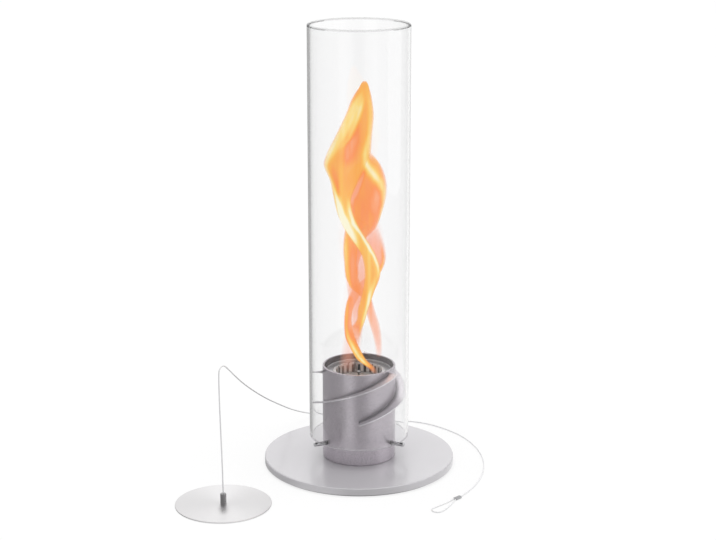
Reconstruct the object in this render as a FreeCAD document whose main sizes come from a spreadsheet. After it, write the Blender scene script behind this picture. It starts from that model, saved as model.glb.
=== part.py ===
import FreeCAD, Part
import math
import os
import Sketcher

# Tabletop fireplace: a round foot plate carries a burner housing with three helical swirl vanes.
# Three pins in the housing hold a glass cylinder clear of the plate, so that air is drawn in below
# it and turned by the vanes. A fuel can drops into the housing. A snuffer disc on a cable lies beside.
# Millimetres. The origin is on the table under the middle of the plate, +Z up, -Y to the front.

doc = FreeCAD.newDocument("TabletopFireplace")
sizes = doc.addObject("Spreadsheet::Sheet", "Sizes")

DRIVING_SIZES = [
    ("base_radius", 115.0),
    ("base_thickness", 8.7),
    ("base_edge_round", 1.2),
    ("base_foot_chamfer", 0.6),
    ("pad_thickness", 1.5),
    ("pad_inset", 3.0),
    ("base_screw_radius", 2.5),
    ("base_screw_head_radius", 4.8),
    ("base_screw_circle", 28.0),
    ("base_screw_bite", 6.0),
    ("base_screw_hole_gap", 0.25),
    ("base_screw_tip_gap", 0.8),
    ("air_channel", 13.0),
    ("housing_height", 115.0),
    ("housing_wall", 3.0),
    ("housing_floor", 8.0),
    ("housing_rim_round", 0.8),
    ("housing_foot_chamfer", 0.8),
    ("vane_pitch", 116.0),
    ("vane_thickness", 1.5),
    ("vane_start_height", 55.4),
    ("vane_rim_gap", 2.2),
    ("vane_root_depth", 1.0),
    ("vane_glass_gap", 0.6),
    ("pin_radius", 2.5),
    ("pin_height", 22.3),
    ("pin_overhang", 2.5),
    ("pin_end_round", 1.2),
    ("pin_hole_gap", 0.02),
    ("pin_inner_gap", 0.2),
    ("glass_radius", 60.0),
    ("glass_wall", 3.0),
    ("glass_length", 500.0),
    ("glass_lip_round", 1.1),
    ("glass_seat_gap", 0.05),
    ("can_side_gap", 0.5),
    ("can_sheet", 0.8),
    ("can_foot_round", 2.0),
    ("can_rim_drop", 6.5),
    ("seam_height", 1.9),
    ("seam_width", 1.8),
    ("seam_round", 0.8),
    ("lid_width", 11.5),
    ("mouth_collar_depth", 3.0),
    ("ring_mouth_gap", 0.3),
    ("ring_sheet", 0.8),
    ("ring_flange_width", 2.2),
    ("ring_depth", 10.5),
    ("ring_slot_width", 2.0),
    ("ring_slot_height", 7.4),
    ("ring_band_height", 1.4),
    ("mesh_thickness", 0.6),
    ("mesh_ring_gap", 0.4),
    ("wool_side_gap", 0.4),
    ("wool_ring_gap", 0.4),
    ("knob_height", 9.5),
    ("knob_head_radius", 2.4),
    ("knob_head_height", 2.0),
    ("knob_neck_radius", 1.2),
    ("knob_flange_radius", 2.6),
    ("knob_flange_height", 1.2),
    ("knob_shank_radius", 1.5),
    ("knob_shank_tail", 1.2),
    ("knob_hole_gap", 0.1),
    ("nut_radius", 3.1),
    ("nut_height", 2.4),
    ("nut_pocket_gap", 0.6),
    ("snuffer_glass_gap", 1.5),
    ("snuffer_thickness", 1.5),
    ("snuffer_edge_round", 0.4),
    ("snuffer_x", -156.0),
    ("snuffer_y", -135.3),
    ("ferrule_radius", 3.5),
    ("ferrule_height", 12.0),
    ("ferrule_top_round", 0.9),
    ("ferrule_thread_depth", 5.0),
    ("ferrule_screw_radius", 1.5),
    ("ferrule_screw_head_radius", 2.8),
    ("ferrule_screw_hole_gap", 0.1),
    ("ferrule_screw_tip_gap", 0.6),
    ("cable_radius", 0.75),
    ("crimp_length", 9.0),
    ("crimp_width", 5.2),
    ("crimp_thickness", 3.0),
    ("crimp_x", 117.3),
    ("crimp_y", -117.1),
    ("crimp_turn", -134.4),
]
for row, (alias, number) in enumerate(DRIVING_SIZES, start=1):
    sizes.set(f"A{row}", alias)
    sizes.set(f"B{row}", str(number))
    sizes.setAlias(f"B{row}", alias)
doc.recompute()

VANES = 3
PINS = 3
BASE_SCREWS = 3
RING_SLOTS = 24

# Heights and radii that several pieces share
PLATE_TOP = "(Sizes.pad_thickness + Sizes.base_thickness)"
GLASS_BORE = "(Sizes.glass_radius - Sizes.glass_wall)"
HOUSING_RADIUS = f"({GLASS_BORE} - Sizes.air_channel)"
HOUSING_BORE = f"({HOUSING_RADIUS} - Sizes.housing_wall)"
HOUSING_FLOOR_TOP = f"({PLATE_TOP} + Sizes.housing_floor)"
HOUSING_RIM = f"({PLATE_TOP} + Sizes.housing_height)"
PIN_AXIS = f"({PLATE_TOP} + Sizes.pin_height)"
GLASS_FOOT = f"({PIN_AXIS} + Sizes.pin_radius + Sizes.glass_seat_gap)"
GLASS_TOP = f"({GLASS_FOOT} + Sizes.glass_length)"
VANE_FOOT = f"({PLATE_TOP} + Sizes.vane_start_height)"
VANE_REACH = f"({GLASS_BORE} - Sizes.vane_glass_gap)"
CAN_RADIUS = f"({HOUSING_BORE} - Sizes.can_side_gap)"
SEAM_TOP = f"({HOUSING_RIM} - Sizes.can_rim_drop)"
LID_TOP = f"({SEAM_TOP} - Sizes.seam_height)"
MOUTH_RADIUS = f"({CAN_RADIUS} - Sizes.lid_width)"
RING_OUTER = f"({MOUTH_RADIUS} - Sizes.ring_mouth_gap)"
RING_INNER = f"({RING_OUTER} - Sizes.ring_sheet)"
RING_FOOT = f"({LID_TOP} - Sizes.ring_depth)"
WOOL_TOP = f"({RING_FOOT} - Sizes.wool_ring_gap)"
MESH_TOP = f"({WOOL_TOP} + Sizes.mesh_thickness)"
FERRULE_TOP = "(Sizes.snuffer_thickness + Sizes.ferrule_height)"

# Routes of the snuffer's cable and of the loop behind its crimp, chosen along the photographed line.
# The cable rises stiffly from the ferrule, bends over, comes down behind the plate and goes round it.
CABLE_ROUTE = [
    (-156.0, -135.3, 13.5),
    (-156.3, -135.2, 50.0),
    (-157.4, -135.5, 95.0),
    (-158.1, -135.4, 134.0),
    (-158.1, -135.2, 159.8),
    (-156.8, -133.1, 163.5),
    (-154.6, -129.6, 165.4),
    (-152.2, -125.9, 164.7),
    (-147.4, -118.3, 156.8),
    (-142.9, -107.0, 147.0),
    (-134.2, -80.0, 127.1),
    (-122.1, -32.0, 98.9),
    (-110.2, 18.0, 72.3),
    (-98.4, 66.0, 48.4),
    (-89.2, 108.0, 28.3),
    (-77.6, 140.0, 12.7),
    (-62.9, 158.5, 3.2),
    (-43.0, 162.5, 0.8),
    (-16.0, 157.5, 0.8),
    (17.0, 148.0, 0.8),
    (50.0, 137.0, 0.8),
    (67.0, 136.6, 0.8),
    (90.0, 126.5, 0.8),
    (113.0, 106.0, 0.8),
    (132.5, 80.0, 0.8),
    (146.0, 46.0, 0.8),
    (152.6, 10.0, 0.8),
    (152.3, -27.0, 0.8),
    (144.0, -64.0, 0.8),
    (130.5, -97.0, 0.8),
    (117.3, -117.1, 1.5),
]
LOOP_ROUTE = [
    (110.2, -122.8, 1.5),
    (104.6, -129.4, 1.0),
    (96.5, -137.6, 0.8),
    (88.6, -144.9, 0.8),
    (82.9, -150.7, 0.8),
    (82.9, -156.7, 0.8),
    (87.5, -160.5, 0.8),
    (93.3, -159.5, 0.8),
    (98.6, -152.6, 0.8),
    (104.2, -141.6, 0.8),
    (109.2, -131.0, 1.0),
    (111.8, -124.3, 1.5),
]
BEND_SHARE = 0.45


def value(expression):
    """Number that an expression on the sheet gives."""
    return float(sizes.evalExpression(str(expression)))


def new_body(label):
    body = doc.addObject("PartDesign::Body", label)
    body.Label = label
    return body


def origin_feature(body, role):
    return next(item for item in body.Origin.OriginFeatures if item.Role == role)


def pin_corner(sketch, line, x, y):
    """Tie the start of a sketch line to the sheet; a plain 0 puts it on that axis."""
    for kind, text, axis in (("DistanceX", x, -2), ("DistanceY", y, -1)):
        if text == "0":
            sketch.addConstraint(Sketcher.Constraint("PointOnObject", line, 1, axis))
        else:
            tie = sketch.addConstraint(Sketcher.Constraint(kind, -1, 1, line, 1, value(text)))
            sketch.setExpression(f"Constraints[{tie}]", text)


def outline(body, name, corners, role="XZ_Plane"):
    """Closed sketch of straight edges on an origin plane; a corner is a pair of expressions."""
    sketch = body.newObject("Sketcher::SketchObject", name)
    sketch.AttachmentSupport = [(origin_feature(body, role), "")]
    sketch.MapMode = "FlatFace"
    points = [FreeCAD.Vector(value(x), value(y), 0) for x, y in corners]
    count = len(points)
    for i in range(count):
        sketch.addGeometry(Part.LineSegment(points[i], points[(i + 1) % count]), False)
    for i in range(count):
        sketch.addConstraint(Sketcher.Constraint("Coincident", i, 2, (i + 1) % count, 1))
    for i, (x, y) in enumerate(corners):
        pin_corner(sketch, i, x, y)
    sketch.Visibility = False
    return sketch


def add_axis(sketch, x, low, high):
    """Upright construction line of a sketch, for a revolve that isn't round the body's own axis."""
    ends = [FreeCAD.Vector(value(x), value(y), 0) for y in (low, high)]
    line = sketch.addGeometry(Part.LineSegment(*ends), True)
    pin_corner(sketch, line, x, low)
    sketch.addConstraint(Sketcher.Constraint("Vertical", line))
    tie = sketch.addConstraint(Sketcher.Constraint("DistanceY", -1, 1, line, 2, value(high)))
    sketch.setExpression(f"Constraints[{tie}]", high)
    return "Axis0"


def revolve(body, sketch, axis="V_Axis", kind="PartDesign::Revolution"):
    feature = body.newObject(kind, sketch.Name + "Turn")
    feature.Profile = sketch
    feature.ReferenceAxis = (sketch, [axis])
    feature.Angle = 360
    doc.recompute()
    return feature


def circle_edges(feature, places):
    """Names of the feature's round edges about its axis at each radius and height."""
    names = []
    for radius, height in places:
        for number, edge in enumerate(feature.Shape.Edges, start=1):
            curve = edge.Curve
            if not isinstance(curve, Part.Circle):
                continue
            off_axis = math.hypot(curve.Center.x, curve.Center.y)
            off_size = abs(curve.Radius - value(radius)) + abs(curve.Center.z - value(height))
            if off_axis + off_size < 1e-4:
                names.append(f"Edge{number}")
    return names


def dress(body, feature, kind, places, size):
    """Fillet or chamfer on the round edges at those places, with its size from the sheet."""
    doc.recompute()
    edges = circle_edges(feature, places)
    if len(edges) != len(places):
        raise ValueError(f"{body.Label}: {len(edges)} of {len(places)} edges found")
    dressing = body.newObject(f"PartDesign::{kind}", f"{body.Label}_{kind}")
    dressing.Base = (feature, edges)
    dressing.setExpression("Radius" if kind == "Fillet" else "Size", size)
    doc.recompute()
    return dressing


def polar_pattern(body, feature, count):
    pattern = body.newObject("PartDesign::PolarPattern", feature.Name + "Pattern")
    pattern.Originals = [feature]
    pattern.Axis = (origin_feature(body, "Z_Axis"), [""])
    pattern.Angle = 360
    pattern.Occurrences = count
    body.Tip = pattern
    doc.recompute()
    return pattern


def side_pocket(body, name, corners, reach):
    """Cut from the axis outwards along +X, with an outline on the YZ plane."""
    pocket = body.newObject("PartDesign::Pocket", name)
    pocket.Profile = outline(body, name + "Outline", corners, "YZ_Plane")
    pocket.Reversed = True
    pocket.setExpression("Length", reach)
    doc.recompute()
    return pocket


def must_cut(body, before):
    """A cut that points away from the solid removes nothing and shows no error."""
    if body.Shape.Volume > before - 1e-3:
        raise ValueError(f"{body.Label}: a cut removed nothing")


def base_pad():
    """Non-slip pad glued under the plate, set in from its rim."""
    body = new_body("base_pad")
    radius = "Sizes.base_radius - Sizes.pad_inset"
    corners = [("0", "0"), (radius, "0"), (radius, "Sizes.pad_thickness"), ("0", "Sizes.pad_thickness")]
    revolve(body, outline(body, "PadSection", corners))
    return body


def base_screw_corners(radius, tip):
    """Half section of a countersunk screw, or of its hole, beside its own axis."""
    axis = "Sizes.base_screw_circle"
    head = "Sizes.base_screw_head_radius"
    neck = f"Sizes.pad_thickness + {head} - ({radius})"
    return [
        (axis, "Sizes.pad_thickness"),
        (f"{axis} + {head}", "Sizes.pad_thickness"),
        (f"{axis} + {radius}", neck),
        (f"{axis} + {radius}", tip),
        (axis, tip),
    ]


def base_plate():
    """Round foot plate with a rounded top edge and countersunk holes from below."""
    body = new_body("base_plate")
    foot = "Sizes.base_radius - Sizes.base_foot_chamfer"
    corners = [
        ("0", "Sizes.pad_thickness"),
        (foot, "Sizes.pad_thickness"),
        ("Sizes.base_radius", "Sizes.pad_thickness + Sizes.base_foot_chamfer"),
        ("Sizes.base_radius", PLATE_TOP),
        ("0", PLATE_TOP),
    ]
    disc = revolve(body, outline(body, "PlateSection", corners))
    dress(body, disc, "Fillet", [("Sizes.base_radius", PLATE_TOP)], "Sizes.base_edge_round")
    before = body.Shape.Volume
    hole = "Sizes.base_screw_radius + Sizes.base_screw_hole_gap"
    section = outline(body, "PlateHoleSection", base_screw_corners(hole, PLATE_TOP))
    axis = add_axis(section, "Sizes.base_screw_circle", "Sizes.pad_thickness", PLATE_TOP)
    polar_pattern(body, revolve(body, section, axis, "PartDesign::Groove"), BASE_SCREWS)
    must_cut(body, before)
    return body


def base_screws():
    """Countersunk screws that hold the housing on the plate, as one group of separate solids."""
    body = new_body("base_screws")
    body.AllowCompound = True
    tip = f"{PLATE_TOP} + Sizes.base_screw_bite - Sizes.base_screw_tip_gap"
    section = outline(body, "ScrewSection", base_screw_corners("Sizes.base_screw_radius", tip))
    axis = add_axis(section, "Sizes.base_screw_circle", "Sizes.pad_thickness", tip)
    polar_pattern(body, revolve(body, section, axis), BASE_SCREWS)
    return body


def burner_housing():
    """Cast cup with helical swirl vanes. It is modelled with the first vane's start on +X."""
    body = new_body("burner_housing")
    outer = HOUSING_RADIUS
    corners = [
        ("0", PLATE_TOP),
        (outer, PLATE_TOP),
        (outer, HOUSING_RIM),
        (HOUSING_BORE, HOUSING_RIM),
        (HOUSING_BORE, HOUSING_FLOOR_TOP),
        ("0", HOUSING_FLOOR_TOP),
    ]
    cup = revolve(body, outline(body, "HousingSection", corners))
    rim = [(outer, HOUSING_RIM), (HOUSING_BORE, HOUSING_RIM)]
    rounded = dress(body, cup, "Fillet", rim, "Sizes.housing_rim_round")
    dress(body, rounded, "Chamfer", [(outer, PLATE_TOP)], "Sizes.housing_foot_chamfer")

    root = f"{outer} - Sizes.vane_root_depth"
    vane_top = f"{VANE_FOOT} + Sizes.vane_thickness"
    vane = body.newObject("PartDesign::AdditiveHelix", "SwirlVane")
    corners = [(root, VANE_FOOT), (VANE_REACH, VANE_FOOT), (VANE_REACH, vane_top), (root, vane_top)]
    vane.Profile = outline(body, "VaneSection", corners)
    vane.ReferenceAxis = (vane.Profile[0], ["V_Axis"])
    vane.Mode = "pitch-height-angle"
    vane.setExpression("Pitch", "Sizes.vane_pitch")
    vane.setExpression("Height", f"{HOUSING_RIM} - Sizes.vane_rim_gap - ({vane_top})")
    doc.recompute()
    polar_pattern(body, vane, VANES)

    before = body.Shape.Volume
    hole = body.newObject("PartDesign::Pocket", "PinHole")
    hole.Profile = round_hole(body, "PinHoleOutline", PIN_AXIS, "Sizes.pin_radius + Sizes.pin_hole_gap")
    hole.setExpression("Length", VANE_REACH)
    doc.recompute()
    polar_pattern(body, hole, PINS)
    must_cut(body, before)

    before = body.Shape.Volume
    tip = f"{PLATE_TOP} + Sizes.base_screw_bite"
    axis = "Sizes.base_screw_circle"
    wall = f"{axis} + Sizes.base_screw_radius"
    section = outline(
        body, "TappedHoleSection", [(axis, PLATE_TOP), (wall, PLATE_TOP), (wall, tip), (axis, tip)]
    )
    line = add_axis(section, axis, PLATE_TOP, tip)
    polar_pattern(body, revolve(body, section, line, "PartDesign::Groove"), BASE_SCREWS)
    must_cut(body, before)
    return body


def round_hole(body, name, height, radius):
    """Circle on the YZ plane, on the body's axis at that height."""
    sketch = body.newObject("Sketcher::SketchObject", name)
    sketch.AttachmentSupport = [(origin_feature(body, "YZ_Plane"), "")]
    sketch.MapMode = "FlatFace"
    centre = FreeCAD.Vector(0, value(height), 0)
    sketch.addGeometry(Part.Circle(centre, FreeCAD.Vector(0, 0, 1), value(radius)), False)
    sketch.addConstraint(Sketcher.Constraint("PointOnObject", 0, 3, -2))
    for kind, places, text in (("DistanceY", (-1, 1, 0, 3), height), ("Radius", (0,), radius)):
        tie = sketch.addConstraint(Sketcher.Constraint(kind, *places, value(text)))
        sketch.setExpression(f"Constraints[{tie}]", text)
    sketch.Visibility = False
    return sketch


def turned_to_front(body):
    """The housing and what it is screwed to are modelled with the front on +X, and turn it to -Y."""
    body.Placement = FreeCAD.Placement(FreeCAD.Vector(), FreeCAD.Rotation(-90, 0, 0))
    return body


def glass_pin(label, angle):
    """Round pin in the housing's wall; the glass stands on its outer end."""
    body = new_body(label)
    inner = f"({HOUSING_BORE} + Sizes.pin_inner_gap)"
    length = f"Sizes.glass_radius + Sizes.pin_overhang - {inner}"
    radius = "Sizes.pin_radius"
    corners = [("0", "0"), (radius, "0"), (radius, length), ("0", length)]
    pin = revolve(body, outline(body, "PinSection", corners))
    dress(body, pin, "Fillet", [(radius, length)], "Sizes.pin_end_round")
    turn = FreeCAD.Rotation(angle - 90, 0, 0)
    lie_down = FreeCAD.Rotation(FreeCAD.Vector(0, 1, 0), 90)
    root = turn.multVec(FreeCAD.Vector(value(inner), 0, value(PIN_AXIS)))
    body.Placement = FreeCAD.Placement(root, turn.multiply(lie_down))
    return body


def glass_cylinder():
    """Glass tube, open at both ends, with melted round lips."""
    body = new_body("glass_cylinder")
    outer = "Sizes.glass_radius"
    corners = [(GLASS_BORE, GLASS_FOOT), (outer, GLASS_FOOT), (outer, GLASS_TOP), (GLASS_BORE, GLASS_TOP)]
    tube = revolve(body, outline(body, "GlassSection", corners))
    dress(body, tube, "Fillet", corners, "Sizes.glass_lip_round")
    return body


def can_body():
    """Drawn sheet cup of the fuel can, which stands on the housing's floor."""
    body = new_body("can_body")
    inner = f"{CAN_RADIUS} - Sizes.can_sheet"
    top = f"{LID_TOP} - Sizes.can_sheet"
    floor = f"{HOUSING_FLOOR_TOP} + Sizes.can_sheet"
    corners = [
        ("0", HOUSING_FLOOR_TOP),
        (CAN_RADIUS, HOUSING_FLOOR_TOP),
        (CAN_RADIUS, top),
        (inner, top),
        (inner, floor),
        ("0", floor),
    ]
    cup = revolve(body, outline(body, "CanSection", corners))
    outside = dress(body, cup, "Fillet", [(CAN_RADIUS, HOUSING_FLOOR_TOP)], "Sizes.can_foot_round")
    dress(body, outside, "Fillet", [(inner, floor)], "Sizes.can_foot_round - Sizes.can_sheet")
    return body


def can_lid():
    """Ring-shaped lid with a raised rolled seam and a collar turned down into the mouth."""
    body = new_body("can_lid")
    mouth = MOUTH_RADIUS
    collar = f"{mouth} + Sizes.can_sheet"
    underside = f"{LID_TOP} - Sizes.can_sheet"
    collar_foot = f"{LID_TOP} - Sizes.mouth_collar_depth"
    seam_inner = f"{CAN_RADIUS} - Sizes.seam_width"
    corners = [
        (mouth, collar_foot),
        (collar, collar_foot),
        (collar, underside),
        (CAN_RADIUS, underside),
        (CAN_RADIUS, SEAM_TOP),
        (seam_inner, SEAM_TOP),
        (seam_inner, LID_TOP),
        (mouth, LID_TOP),
    ]
    lid = revolve(body, outline(body, "LidSection", corners))
    dress(body, lid, "Fillet", [(CAN_RADIUS, SEAM_TOP), (seam_inner, SEAM_TOP)], "Sizes.seam_round")
    return body


def flame_ring():
    """Flanged sheet ring that hangs in the can's mouth, slotted all round."""
    body = new_body("flame_ring")
    flange = f"{MOUTH_RADIUS} + Sizes.ring_flange_width"
    flange_top = f"{LID_TOP} + Sizes.ring_sheet"
    corners = [
        (RING_INNER, RING_FOOT),
        (RING_OUTER, RING_FOOT),
        (RING_OUTER, LID_TOP),
        (flange, LID_TOP),
        (flange, flange_top),
        (RING_INNER, flange_top),
    ]
    revolve(body, outline(body, "RingSection", corners))
    before = body.Shape.Volume
    half = "Sizes.ring_slot_width / 2"
    low = f"{RING_FOOT} + Sizes.ring_band_height"
    high = f"{low} + Sizes.ring_slot_height"
    corners = [(f"-({half})", low), (half, low), (half, high), (f"-({half})", high)]
    polar_pattern(body, side_pocket(body, "RingSlot", corners, MOUTH_RADIUS), RING_SLOTS)
    must_cut(body, before)
    return body


def wick_mesh():
    """Round of steel mesh on the wool, with a hole for the knob's shank."""
    body = new_body("wick_mesh")
    hole = "Sizes.knob_shank_radius + Sizes.knob_hole_gap"
    rim = f"{RING_INNER} - Sizes.mesh_ring_gap"
    corners = [(hole, WOOL_TOP), (rim, WOOL_TOP), (rim, MESH_TOP), (hole, MESH_TOP)]
    revolve(body, outline(body, "MeshSection", corners))
    return body


def wick_wool():
    """Block of wool that takes up the fuel, with a pocket for the knob's nut."""
    body = new_body("wick_wool")
    side = f"{CAN_RADIUS} - Sizes.can_sheet - Sizes.wool_side_gap"
    foot = f"{HOUSING_FLOOR_TOP} + Sizes.can_sheet"
    shoulder = f"{foot} + Sizes.can_foot_round"
    pocket = "Sizes.nut_radius + Sizes.nut_pocket_gap"
    pocket_foot = f"{WOOL_TOP} - Sizes.nut_height - Sizes.knob_shank_tail - Sizes.nut_pocket_gap"
    corners = [
        ("0", foot),
        (f"{side} - Sizes.can_foot_round", foot),
        (side, shoulder),
        (side, WOOL_TOP),
        (pocket, WOOL_TOP),
        (pocket, pocket_foot),
        ("0", pocket_foot),
    ]
    revolve(body, outline(body, "WoolSection", corners))
    return body


def lifting_knob():
    """Spool-shaped knob that lifts the mesh, with a shank through it."""
    body = new_body("lifting_knob")
    shank = "Sizes.knob_shank_radius"
    neck = "Sizes.knob_neck_radius"
    flange = "Sizes.knob_flange_radius"
    head = "Sizes.knob_head_radius"
    tail = f"{WOOL_TOP} - Sizes.nut_height - Sizes.knob_shank_tail"
    flange_top = f"{MESH_TOP} + Sizes.knob_flange_height"
    top = f"{MESH_TOP} + Sizes.knob_height"
    head_foot = f"{top} - Sizes.knob_head_height"
    corners = [
        ("0", tail),
        (shank, tail),
        (shank, MESH_TOP),
        (flange, MESH_TOP),
        (flange, flange_top),
        (neck, flange_top),
        (neck, head_foot),
        (head, head_foot),
        (head, top),
        ("0", top),
    ]
    revolve(body, outline(body, "KnobSection", corners))
    return body


def knob_nut():
    """Hexagon nut on the knob's shank, under the mesh."""
    prism = doc.addObject("Part::Prism", "NutPrism")
    prism.Polygon = 6
    prism.setExpression("Circumradius", "Sizes.nut_radius")
    prism.setExpression("Height", "Sizes.nut_height")
    bore = doc.addObject("Part::Cylinder", "NutBore")
    bore.setExpression("Radius", "Sizes.knob_shank_radius")
    bore.setExpression("Height", "Sizes.nut_height")
    nut = doc.addObject("Part::Cut", "knob_nut")
    nut.Label = "knob_nut"
    nut.Base = prism
    nut.Tool = bore
    nut.setExpression("Placement.Base.z", f"{WOOL_TOP} - Sizes.nut_height")
    return nut


def at_snuffer(body):
    body.setExpression("Placement.Base.x", "Sizes.snuffer_x")
    body.setExpression("Placement.Base.y", "Sizes.snuffer_y")
    return body


def snuffer_disc():
    """Thin disc that closes the glass, with a countersunk hole from below."""
    body = new_body("snuffer_disc")
    hole = "Sizes.ferrule_screw_radius + Sizes.ferrule_screw_hole_gap"
    head = "Sizes.ferrule_screw_head_radius"
    top = "Sizes.snuffer_thickness"
    rim = f"{GLASS_BORE} - Sizes.snuffer_glass_gap"
    corners = [(head, "0"), (rim, "0"), (rim, top), (hole, top), (hole, f"{head} - ({hole})")]
    disc = revolve(body, outline(body, "DiscSection", corners))
    dress(body, disc, "Fillet", [(rim, "0"), (rim, top)], "Sizes.snuffer_edge_round")
    return at_snuffer(body)


def cable_ferrule():
    """Round ferrule on the middle of the disc, tapped from below; the cable stands in its top."""
    body = new_body("cable_ferrule")
    foot = "Sizes.snuffer_thickness"
    thread = "Sizes.ferrule_screw_radius"
    side = "Sizes.ferrule_radius"
    thread_top = f"{foot} + Sizes.ferrule_thread_depth"
    corners = [
        (thread, foot),
        (side, foot),
        (side, FERRULE_TOP),
        ("0", FERRULE_TOP),
        ("0", thread_top),
        (thread, thread_top),
    ]
    ferrule = revolve(body, outline(body, "FerruleSection", corners))
    dress(body, ferrule, "Fillet", [(side, FERRULE_TOP)], "Sizes.ferrule_top_round")
    return at_snuffer(body)


def ferrule_screw():
    """Countersunk screw through the disc into the ferrule."""
    body = new_body("ferrule_screw")
    radius = "Sizes.ferrule_screw_radius"
    head = "Sizes.ferrule_screw_head_radius"
    tip = "Sizes.snuffer_thickness + Sizes.ferrule_thread_depth - Sizes.ferrule_screw_tip_gap"
    corners = [("0", "0"), (head, "0"), (radius, f"{head} - {radius}"), (radius, tip), ("0", tip)]
    revolve(body, outline(body, "FerruleScrewSection", corners))
    return at_snuffer(body)


def rounded_wire(route):
    """Straight runs joined by tangent arcs, each as large as its two runs allow, and the arcs' radii."""
    points = [FreeCAD.Vector(*point) for point in route]
    edges = []
    radii = []
    start = points[0]
    for before, corner, after in zip(points, points[1:], points[2:]):
        back = before - corner
        ahead = after - corner
        trim = BEND_SHARE * min(back.Length, ahead.Length)
        back.normalize()
        ahead.normalize()
        half_turn = (math.pi - back.getAngle(ahead)) / 2
        radius = trim / math.tan(half_turn)
        middle = back + ahead
        middle.normalize()
        bulge = corner + middle * (radius / math.cos(half_turn) - radius)
        edges.append(Part.LineSegment(start, corner + back * trim).toShape())
        edges.append(Part.Arc(corner + back * trim, bulge, corner + ahead * trim).toShape())
        start = corner + ahead * trim
        radii.append(radius)
    edges.append(Part.LineSegment(start, points[-1]).toShape())
    return Part.Wire(edges), radii


def cable_tube(label, route):
    """Round cable along a route, checked against its section times its length."""
    path, radii = rounded_wire(route)
    radius = value("Sizes.cable_radius")
    first = path.Edges[0]
    section = Part.Circle(first.valueAt(first.FirstParameter), first.tangentAt(first.FirstParameter), radius)
    tube = doc.addObject("Part::Feature", label)
    tube.Label = label
    tube.Shape = path.makePipeShell([Part.Wire(section.toShape())], True, False)
    share = tube.Shape.Volume / (math.pi * radius**2 * path.Length)
    bends = ", ".join(f"{bend:.1f}" for bend in radii)
    print(f"{label}: length {path.Length:.1f}, volume share {share:.4f}, bend radii {bends}")
    return tube


def loop_crimp():
    """Pressed oval sleeve that closes the loop, modelled along +X and laid at the cable's end."""
    body = new_body("loop_crimp")
    sketch = body.newObject("Sketcher::SketchObject", "CrimpOval")
    sketch.AttachmentSupport = [(origin_feature(body, "YZ_Plane"), "")]
    sketch.MapMode = "FlatFace"
    radius = value("Sizes.crimp_thickness") / 2
    reach = value("Sizes.crimp_width") / 2 - radius
    up = FreeCAD.Vector(0, 0, 1)
    side = FreeCAD.Vector(reach, radius, 0)
    other = FreeCAD.Vector(-reach, radius, 0)
    quarter = math.pi / 2
    sketch.addGeometry(Part.ArcOfCircle(Part.Circle(side, up, radius), -quarter, quarter), False)
    sketch.addGeometry(Part.ArcOfCircle(Part.Circle(other, up, radius), quarter, 3 * quarter), False)
    rise = FreeCAD.Vector(0, radius, 0)
    sketch.addGeometry(Part.LineSegment(side + rise, other + rise), False)
    sketch.addGeometry(Part.LineSegment(other - rise, side - rise), False)
    for joint in ((0, 2, 2, 1), (2, 2, 1, 1), (1, 2, 3, 1), (3, 2, 0, 1)):
        sketch.addConstraint(Sketcher.Constraint("Tangent", *joint))
    sketch.addConstraint(Sketcher.Constraint("Horizontal", 2))
    sketch.addConstraint(Sketcher.Constraint("Symmetric", 0, 3, 1, 3, -2))
    ties = [
        ("Radius", (0,), "Sizes.crimp_thickness / 2"),
        ("DistanceY", (-1, 1, 0, 3), "Sizes.crimp_thickness / 2"),
        ("DistanceX", (-1, 1, 0, 3), "(Sizes.crimp_width - Sizes.crimp_thickness) / 2"),
    ]
    for kind, places, text in ties:
        tie = sketch.addConstraint(Sketcher.Constraint(kind, *places, value(text)))
        sketch.setExpression(f"Constraints[{tie}]", text)
    sketch.Visibility = False
    pad = body.newObject("PartDesign::Pad", "CrimpSleeve")
    pad.Profile = sketch
    pad.setExpression("Length", "Sizes.crimp_length")
    doc.recompute()
    body.setExpression("Placement.Base.x", "Sizes.crimp_x")
    body.setExpression("Placement.Base.y", "Sizes.crimp_y")
    body.setExpression("Placement.Rotation.Angle", "Sizes.crimp_turn")
    return body


PIN_ANGLES = {"glass_pin_right": 60, "glass_pin_left": -60, "glass_pin_rear": 180}
pieces = [base_pad()] + [turned_to_front(piece()) for piece in (base_plate, base_screws, burner_housing)]
pieces += [glass_pin(label, angle) for label, angle in PIN_ANGLES.items()]
pieces += [glass_cylinder()]
pieces += [can_body(), can_lid(), flame_ring(), wick_wool(), wick_mesh(), lifting_knob(), knob_nut()]
pieces += [snuffer_disc(), cable_ferrule(), ferrule_screw()]
pieces += [cable_tube("snuffer_cable", CABLE_ROUTE), loop_crimp(), cable_tube("cable_loop", LOOP_ROUTE)]
doc.recompute()

for item in doc.Objects:
    if "Invalid" in item.State or "Error" in item.State:
        raise ValueError(f"{item.Label} failed: {item.State}")
for piece in pieces:
    if piece.Shape.isNull() or not piece.Shape.isValid():
        raise ValueError(f"{piece.Label} has no valid shape")

os.makedirs("parts", exist_ok=True)
for piece in pieces:
    piece.Shape.exportStep(f"parts/{piece.Label}.step")
    print(f"{piece.Label}: {len(piece.Shape.Solids)} solids, {piece.Shape.Volume:.1f} mm3")
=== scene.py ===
import math

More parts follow.
